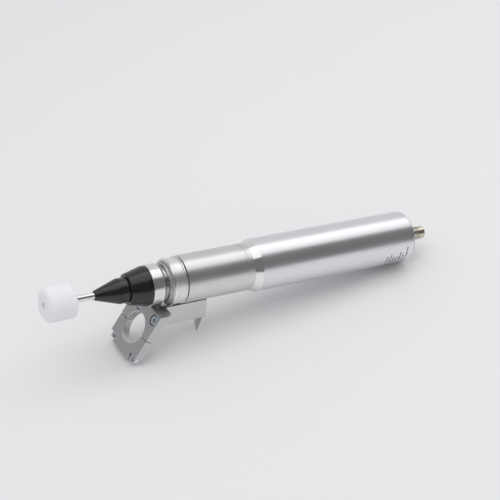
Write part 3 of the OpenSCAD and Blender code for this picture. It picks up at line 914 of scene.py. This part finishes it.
@dataclass
class SoftTip(SubAssembly):
    """The soft cleaning tip on its hub and screw."""

    radius: float = 10.3
    length: float = 17.8
    corner: float = 3.2
    hole: float = 1.9
    hole_depth: float = 6.0
    socket: float = 5.0

    def build(self, bench: Bench) -> None:
        """Moulds the tip and dresses its hub and screw."""
        outline = [
            (self.hole_depth, self.hole), (0.0, self.hole, 0.35, 3),
            (0.0, self.radius, self.corner, 10),
            (self.length, self.radius, self.corner - 0.2, 10),
            (self.length, self.socket, 0.3, 3), (self.hole_depth, self.socket),
        ]
        tip = turned(outline, steps=96)
        bench.fit(tip, "soft_tip", ["cleaning_tip"], "spindle_unit", "soft_white")
        bench.dress({"hub_plastic": "tip_core", "zinc_screw": "tip_screw"})


@dataclass
class SpindleShaft(SubAssembly):
    """The stepped steel spindle that carries the tip."""

    radius: float = 2.0
    front: float = 9.0
    seat_front: float = 56.0
    seat_rear: float = 72.0
    rear: float = 90.0

    def build(self, bench: Bench) -> None:
        """Turns the spindle with its bearing seats."""
        outline = [
            (self.front, 1.0), (self.front, self.radius, 0.25, 3),
            (self.seat_front - 3, self.radius), (self.seat_front - 2, 3.0),
            (self.seat_front + 5, 3.0), (self.seat_front + 5, 4.0, 0.2, 2),
            (self.seat_rear, 4.0, 0.2, 2), (self.seat_rear, 3.0),
            (self.seat_rear + 7, 3.0, 0.3, 2), (self.seat_rear + 7, 2.5),
            (self.rear, 2.5, 0.3, 2), (self.rear, 0.0), (15.0, 0.0), (15.0, 1.0),
        ]
        shaft = turned(outline, steps=64)
        bench.fit(shaft, "spindle_shaft", ["spindle"], "spindle_unit", "bright_steel")


@dataclass
class Nose(SubAssembly):
    """The black stepped nose, the bright collar behind it and the bearings inside."""

    front: float = 30.8
    slim: float = 45.3
    cone: float = 50.7
    collar: float = 63.3
    neck: float = 71.3
    ring: float = 73.6
    rear: float = 84.8
    small_radius: float = 2.8
    slim_radius: float = 7.45
    collar_radius: float = 12.2
    bearing_front: float = 56.0
    bearing_rear: float = 72.0

    def slim_cone(self) -> Mesh:
        """The slim front cone with its short barrel and groove."""
        s, r = self.small_radius, self.slim_radius
        return turned(
            [
                (self.front, 2.25), (self.front, s, 0.35, 3), (self.slim, r, 0.5, 5),
                (self.cone - 0.6, r, 0.25, 3), (self.cone - 0.5, r - 0.35),
                (self.cone, r - 0.35), (self.cone, 6.0), (self.cone + 4.2, 6.0),
                (self.cone + 4.2, 5.0), (self.slim - 1.3, 5.0), (self.slim - 1.3, 2.25),
            ]
        )

    def wide_cone(self) -> Mesh:
        """The wide rear cone with its rounded shoulder."""
        c = self.collar_radius
        return turned(
            [
                (self.cone, 6.0), (self.cone, 9.15, 0.5, 4),
                (self.collar - 1.0, c - 0.15, 1.0, 6), (self.collar, c - 0.55, 0.4, 4),
                (self.collar, 8.0), (self.bearing_front - 1, 8.0),
                (self.bearing_front - 1, 6.0),
            ]
        )

    def collar_sleeve(self) -> Mesh:
        """The bright collar, its grooved neck and the bearing housing inside it."""
        c = self.collar_radius
        return turned(
            [
                (self.bearing_front - 0.7, 5.7), (self.bearing_front - 0.7, 8.0),
                (self.collar, 8.0), (self.collar, c, 0.4, 3), (self.neck - 1.3, c, 0.25, 3),
                (self.neck - 0.1, c - 1.0, 0.15, 2), (self.neck - 0.1, 10.45, 1.15, 7),
                (self.ring + 3.4, 10.6), (self.ring + 3.4, 11.6, 0.2, 2), (self.ring + 6, 11.6),
                (self.ring + 6, 9.9), (self.rear + 1.5, 9.9), (self.rear + 1.5, 7.9),
                (self.ring + 5.3, 7.9), (self.ring + 5.3, 6.5), (self.bearing_rear + 6, 6.5),
                (self.bearing_rear + 6, 7.0), (self.bearing_rear + 5, 7.0),
                (self.bearing_rear + 5, 6.5), (self.bearing_front, 6.5),
                (self.bearing_front, 5.7),
            ]
        )

    def build(self, bench: Bench) -> None:
        """Turns the nose and dresses the bearings."""
        bench.fit(self.slim_cone(), "slim_nose_cone", ["nose_tip"], "housing", "black_acetal")
        bench.fit(self.wide_cone(), "wide_nose_cone", ["nose_cone"], "housing", "black_acetal")
        bench.fit(
            self.collar_sleeve(),
            "bright_collar",
            ["nose_body"],
            "housing",
            "turned_aluminium",
            bright=lambda p: self.neck - 1.25 < p.x < self.neck - 0.15 and p.yz.length > 11,
            # Painted shade in the neck groove behind the collar.
            dull=lambda p: 0.8 * (self.neck - 0.1 < p.x < self.ring + 1.0 and p.yz.length > 9.9),
        )
        bench.dress(
            {
                "seal_rubber": "shaft_seal",
                "bearing_steel": "bearing_outer_rings bearing_inner_rings",
                "polished_steel": "bearing_balls",
                "cage_brass": "bearing_cages",
                "coupling_aluminium": "bearing_spacer",
                "spring_steel": "preload_spring retaining_ring",
                "bright_steel": "bayonet_stop_pin",
            }
        )


@dataclass
class LockRing(SubAssembly):
    """The bayonet ring that holds the nose on the front housing."""

    front: float = 73.6
    radius: float = 14.1
    lug_half: float = 26.0

    def build(self, bench: Bench) -> None:
        """Turns the ring with its two beads and adds its three lugs."""
        x, r = self.front, self.radius
        bm = turned(
            [
                (x, 10.66), (x, 11.1, 0.12, 2), *arc(x - 0.55, r + 0.1, 2.75, 168.0, 99.0),
                *arc(x + 2.85, r - 0.75, 0.75, -50.0, 80.0), (x + 3.72, r - 0.5),
                (x + 9.2, r - 0.5), *arc(x + 9.9, r - 0.6, 0.6, -70.0, 90.0),
                (x + 11, r - 1.0, 0.15, 2), (x + 11, 12.3), (x + 6.1, 12.3), (x + 6.1, 11.75),
                (x + 3.2, 11.75), (x + 3.2, 10.66),
            ]
        )
        for lug in range(3):
            arc_lug(bm, (x + 8.5, x + 10.3), (11.0, 12.4), 120.0 * lug, self.lug_half)
        band = (x + 3.72, x + 9.32)
        bench.fit(
            bm,
            "bayonet_lock_ring",
            ["lock_ring"],
            "bayonet_ring",
            "ring_aluminium",
            narrow=0.9,
            bright=lambda p: not band[0] < p.x < band[1] and p.yz.length > 13.2,
            # Painted shade on the ring's front flank, next to the neck groove.
            dull=lambda p: 0.55 * (p.x < x + 1.7 and p.yz.length > 11.0),
        )


@dataclass
class Housings(SubAssembly):
    """The front housing, the main housing and the rear cap."""

    start: float = 84.8
    shoulder: float = 128.4
    rear: float = 241.7
    front_radius: float = 14.2
    main_radius: float = 16.0
    web: float = 99.0
    gear: float = 101.5
    lug_half: float = 18.0

    def front_sleeve(self) -> Mesh:
        """The front housing with its two fine grooves and bayonet lugs."""
        r, s = self.front_radius, self.shoulder
        bm = turned(
            [
                (self.start - 5.2, 9.9), (self.start - 5.2, 10.9), (self.start, 10.9),
                (self.start, r, 0.4, 4), (s - 4.2, r, 0.06, 2), (s - 4.1, r - 0.14),
                (s - 3.8, r - 0.14), (s - 3.7, r, 0.06, 2), (s - 3.0, r, 0.06, 2),
                (s - 2.9, r - 0.14), (s - 2.6, r - 0.14), (s - 2.5, r, 0.06, 2), (s, r),
                (s, 13.3), (s + 13.6, 13.3), (s + 13.6, 11.0), (self.gear, 11.0),
                (self.gear, 5.0), (self.web, 5.0), (self.web, 9.9),
            ],
            steps=128,
        )
        for lug in range(3):
            ends = (self.start - 4.4, self.start - 2.8)
            arc_lug(bm, ends, (10.8, 12.2), 120.0 * lug, self.lug_half)
        return bm

    def main_sleeve(self) -> Mesh:
        """The main housing with its bright-cut shoulder."""
        r, s = self.main_radius, self.shoulder
        return turned(
            [
                (s, 13.3), (s, self.front_radius + 0.1, 0.1, 2), (s + 5.0, r - 0.02, 0.25, 3),
                (self.rear, r, 0.3, 3), (self.rear, 14.4), (s + 13.6, 14.4), (s + 13.6, 13.3),
            ],
            steps=128,
        )

    def build(self, bench: Bench) -> None:
        """Turns the housings and dresses the seal."""
        s = self.shoulder
        front = self.front_sleeve()
        bench.fit(front, "front_sleeve", ["front_housing"], "housing", "warm_aluminium", 0.5)
        bench.fit(
            self.main_sleeve(),
            "main_sleeve",
            ["main_housing"],
            "housing",
            "cool_aluminium",
            narrow=0.5,
            bright=lambda p: s + 0.05 < p.x < s + 4.9 and p.yz.length > 14.25,
        )
        cap = broken_edges(bench.copy_of("end_cap"), 0.15)
        bench.fit(cap, "rear_cap", ["end_cap"], "housing", "cap_aluminium", 0.4)
        bench.dress({"seal_rubber": "end_cap_o_ring"})


@dataclass
class Connector(SubAssembly):
    """The round four-pin connector in the rear cap."""

    cap: float = 241.7
    front: float = 243.2
    rear: float = 259.0
    radius: float = 4.0
    root: float = 3.62
    pitch: float = 1.0
    turns: int = 10
    facets: int = 36

    def shell(self) -> Mesh:
        """The plated shell with its cut thread."""
        f, e = self.front, self.rear
        bm = turned(
            [
                (self.cap - 6, 3.0), (self.cap - 6, 4.0, 0.3, 2), (f, 4.0), (f, 3.45),
                (f + 1.6, 3.45), (f + 1.6, self.root), (e - 4.0, self.root),
                (e - 3.8, self.radius), (e, self.radius, 0.35, 4), (e, 3.15, 0.15, 2),
                (f + 6, 3.15), (f + 6, 3.0),
            ],
            steps=72,
        )
        self.cut_thread(bm)
        return bm

    def cut_thread(self, bm: Mesh) -> None:
        """Winds the thread's ridge round the shell."""
        x, low, high = self.front + 1.75, self.root - 0.05, self.radius
        section = ((x, low), (x + 0.36, high), (x + 0.5, high), (x + 0.86, low))
        face = bm.faces.new([bm.verts.new((along, 0.0, r)) for along, r in section])
        steps = self.facets * self.turns - 6
        step = (self.pitch / self.facets, 0, 0)
        spun(bm, [face], math.tau / self.facets * steps, steps, dvec=step)
        bmesh.ops.recalc_face_normals(bm, faces=bm.faces[:])

    def seal(self) -> Mesh:
        """The rubber ring between the shell and the cap."""
        f = self.front
        return turned(
            [
                (f, 3.45), (f, 4.7, 0.3, 3), (f + 0.8, 4.85, 0.3, 3), (f + 1.6, 4.7, 0.3, 3),
                (f + 1.6, 3.45),
            ],
            steps=64,
        )

    def build(self, bench: Bench) -> None:
        """Makes the shell and seal, and dresses what sits inside."""
        shell, seal = self.shell(), self.seal()
        bench.fit(shell, "connector_shell", ["connector_body"], "housing", "nickel_brass", 0.3)
        bench.fit(seal, "connector_ring_seal", ["connector_seal"], "housing", "seal_rubber")
        bench.dress(
            {
                "nickel_brass": "connector_nut",
                "black_plastic": "connector_insert",
                "gold_pin": "connector_pins",
            }
        )


@dataclass
class AccessoryClamp(SubAssembly):
    """The tilted split plate, the bar that carries it and its screws."""

    centre_x: float = 58.1
    centre_z: float = -27.3
    tilt: float = 29.3
    half: float = 16.5
    thick: float = 5.4
    screw_rows: tuple[float, float] = (-11.75, 5.75)
    clamp_row: float = 12.9
    bar_floor: float = -26.2
    bar_screw_rows: tuple[float, float] = (87.5, 93.0)
    bar_y: float = -3.0
    foot: float = 98.9

    def plate_seat(self) -> Matrix:
        """The plate's own frame in pen coordinates."""
        lean = Matrix.Rotation(math.radians(self.tilt), 4, "Y")
        return Matrix.Translation((self.centre_x, 0, self.centre_z)) @ lean

    def build(self, bench: Bench) -> None:
        """Mills the plates and bar, sets the screws and turns the cone foot."""
        for node, name, slot, width, narrow in (
            ("clamp_upper", "clamp_plate_upper", "plate_aluminium", 0.22, 0.55),
            ("clamp_cap", "clamp_plate_cap", "plate_aluminium", 0.22, 0.55),
            ("bracket_bar", "carrier_bar", "bar_aluminium", 0.25, 0.6),
        ):
            milled = broken_edges(bench.copy_of(node), width)
            bench.fit(milled, name, [node], "housing", slot, narrow)
        plate, move = self.plate_seat(), Matrix.Translation
        facing = Matrix.Rotation(math.pi, 4, "Z")
        front = [plate @ move((3.2, y, 12.4)) @ facing for y in self.screw_rows]
        foot, side = -self.half + 4.5, self.clamp_row
        below = [plate @ move((self.thick / 2, y, foot)) @ DOWNWARD for y in (-side, side)]
        seat = self.bar_floor + 3.4
        under = [move((x, self.bar_y, seat)) @ DOWNWARD for x in self.bar_screw_rows]
        for screw, seats, name, node in (
            (CapScrew(length=5.0), front, "plate_cap_screws", "plate_screws"),
            (CapScrew(head=2.7, length=20.0), below, "clamp_cap_screws", "clamp_screws"),
            (CapScrew(2.25, 2.5, 1.25, 12.0, 2.0, 1.4), under, "bar_cap_screws", "bar_screws"),
        ):
            bench.fit(screw_set(screw, seats), name, [node], "housing", "zinc_screw", 0.4)
        bench.fit(self.cone(), "cone_point", ["cone_foot"], "housing", "polished_steel", 0.3)

    def cone(self) -> Mesh:
        """The slim cone under the bar, on its pressed stem."""
        bm = turned(
            [
                (-6.0, 0.0), (-6.0, 1.25, 0.2, 2), (0.0, 1.25), (0.0, 2.7), (1.0, 2.7, 0.12, 2),
                (11.0, 0.28, 0.2, 3), (11.0, 0.0),
            ],
            closed=False,
            steps=48,
        )
        bm.transform(Matrix.Translation((self.foot, self.bar_y, self.bar_floor)) @ DOWNWARD)
        return bm


@dataclass
class HiddenDrive(SubAssembly):
    """Coupling, gearhead, motor and electronics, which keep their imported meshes."""

    def build(self, bench: Bench) -> None:
        """Dresses every hidden part."""
        bench.dress(
            {
                "coupling_aluminium": "coupling_front_hub coupling_rear_hub",
                "spider_rubber": "coupling_spider",
                "gear_steel": "gearhead_flange gearhead_ring_gear planet_carrier",
                "zinc_screw": "gearhead_screws",
                "bearing_steel": "planet_pins",
                "pinion_brass": "planet_gear_a planet_gear_b planet_gear_c sun_pinion",
                "bright_steel": "motor_shaft",
                "lamination": "rotor_core",
                "copper_wire": "rotor_windings",
                "motor_steel": "motor_can",
                "magnet": "motor_magnets",
                "black_plastic": "motor_end_bell board_chassis",
                "brush_graphite": "motor_brushes",
                "board_green": "driver_board",
                "component_black": "board_components",
                "capacitor_can": "capacitor",
                "wire_red": "lead_wires",
            }
        )


# ---------------------------------------------------------------- studio


@dataclass
class Studio:
    """Floor, light and camera.

    Attributes:
        eye: Camera position in pen coordinates, in millimetres.
        right: Camera's right in pen coordinates.
        ahead: Camera's view direction in pen coordinates.
        lens: Focal length on a 36 mm sensor.
        floor_tone: How pale the floor is.
        fill: Light that the floor gets from the room.
        backdrop: The room as the camera sees it.
        front_wall: Light from in front of the bench.
        left_wall: Light from behind the bench, at the pen's front end.
        right_wall: Light from behind the bench, at the pen's rear end.
        box_size: Length and width of the soft light, in metres.
        box_place: Its middle, in metres.
        box_turn: How far it is turned, in degrees.
        box_power: Its power in watts.
    """

    eye: tuple[float, float, float] = (-290.3, -641.5, 460.8)
    right: tuple[float, float, float] = (0.8652, -0.4882, 0.1147)
    ahead: tuple[float, float, float] = (0.4739, 0.7210, -0.5055)
    lens: float = 108.0
    floor_tone: float = 0.80
    fill: Colour = (0.70, 0.70, 0.715)
    backdrop: Colour = (0.78, 0.78, 0.79)
    front_wall: Colour = (0.165, 0.163, 0.165)
    left_wall: Colour = (0.31, 0.31, 0.318)
    right_wall: Colour = (0.70, 0.70, 0.715)
    box_size: tuple[float, float] = (2.2, 0.97)
    box_place: tuple[float, float, float] = (0.35, 0.0, 1.0)
    box_turn: float = 8.0
    box_power: float = 5.9

    def camera(self, line: PenLine) -> None:
        """Places the camera."""
        data = bpy.data.cameras.new("studio_camera")
        data.sensor_width = 36.0
        data.lens = self.lens
        data.clip_start, data.clip_end = 0.05, 60.0
        camera = bpy.data.objects.new("studio_camera", data)
        bpy.context.scene.collection.objects.link(camera)
        back = -Vector(self.ahead).normalized()
        side = Vector(self.right) - back * back.dot(Vector(self.right))
        side.normalize()
        up = back.cross(side)
        turn = Matrix((side, up, back)).transposed().to_4x4()
        camera.matrix_world = line.place() @ Matrix.Translation(Vector(self.eye) * MM) @ turn
        bpy.context.scene.camera = camera

    def floor(self) -> None:
        """Lays a plain pale floor."""
        bm = bmesh.new()
        bmesh.ops.create_grid(bm, x_segments=8, y_segments=8, size=12.0)
        mesh = bpy.data.meshes.new("studio_floor")
        bm.to_mesh(mesh)
        bm.free()
        floor = bpy.data.objects.new("studio_floor", mesh)
        bpy.context.scene.collection.objects.link(floor)
        material = bpy.data.materials.new("studio_paper")
        material.use_nodes = True
        w = Wiring(material.node_tree)
        place = w.node("ShaderNodeTexCoord").outputs["Object"]
        tone = w.span(w.noise(place, 3.0, 2.0), 0.2, 0.8)
        t = self.floor_tone
        colour = w.mix(tone, (t, t, t * 1.008), (t * 1.01, t * 1.01, t * 1.018))
        feeds = {"Base Color": colour, "Roughness": 0.9, "Specular IOR Level": 0.1}
        paper = w.node("ShaderNodeBsdfPrincipled", "paper", feeds)
        w.node("ShaderNodeOutputMaterial", "out", {"Surface": paper.outputs[0]})
        mesh.materials.append(material)

    def world(self) -> None:
        """A pale room, darker in front of the bench than behind it."""
        world = bpy.data.worlds.new("studio_room")
        bpy.context.scene.world = world
        world.use_nodes = True
        w = Wiring(world.node_tree)
        direction = w.axes(w.node("ShaderNodeTexCoord").outputs["Generated"], "direction")
        back = w.span(direction["Y"], -0.30, 0.45)
        side = w.span(direction["X"], -0.7, 0.45)
        room = w.mix(back, self.front_wall, w.mix(side, self.left_wall, self.right_wall))
        paths = w.node("ShaderNodeLightPath").outputs
        look = w.node("ShaderNodeBackground", "room light", {"Color": room})
        for label, ray, tone in (
            ("room as the paper sees it", "Is Diffuse Ray", self.fill),
            ("room as seen", "Is Camera Ray", self.backdrop),
        ):
            other = w.node("ShaderNodeBackground", label, {"Color": tone})
            feeds = {0: paths[ray], 1: look.outputs[0], 2: other.outputs[0]}
            look = w.node("ShaderNodeMixShader", "", feeds)
        w.node("ShaderNodeOutputWorld", "out", {"Surface": look.outputs[0]})
        world.cycles.sampling_method = "NONE"

    def soft_box(self) -> None:
        """Hangs one large soft light over the bench."""
        data = bpy.data.lights.new("overhead_soft_box", "AREA")
        data.shape = "RECTANGLE"
        data.size, data.size_y = self.box_size
        data.energy = self.box_power
        lamp = bpy.data.objects.new("overhead_soft_box", data)
        bpy.context.scene.collection.objects.link(lamp)
        turn = Matrix.Rotation(math.radians(self.box_turn), 4, "Z")
        lamp.matrix_world = Matrix.Translation(self.box_place) @ turn

    def build(self, line: PenLine) -> None:
        """Sets up the whole studio."""
        self.camera(line)
        self.floor()
        self.world()
        self.soft_box()
        bpy.context.scene.view_settings.view_transform = "Standard"
        log.info("studio is ready")


# ---------------------------------------------------------------- main


def main() -> None:
    """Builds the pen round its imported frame."""
    logging.basicConfig(level=logging.INFO, format="%(name)s: %(message)s")
    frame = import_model()
    line = PenLine.from_joints(frame["joints"])
    shelf = EffectShelf()
    materials = {finish.slot: finish.make(line, shelf) for finish in FINISHES}
    bench = Bench(line, frame["nodes"], materials)
    for group in (
        SoftTip(),
        SpindleShaft(),
        Nose(),
        LockRing(),
        Housings(),
        Connector(),
        AccessoryClamp(),
        HiddenDrive(),
    ):
        group.build(bench)
    Studio().build(line)


if __name__ == "__main__":
    main()
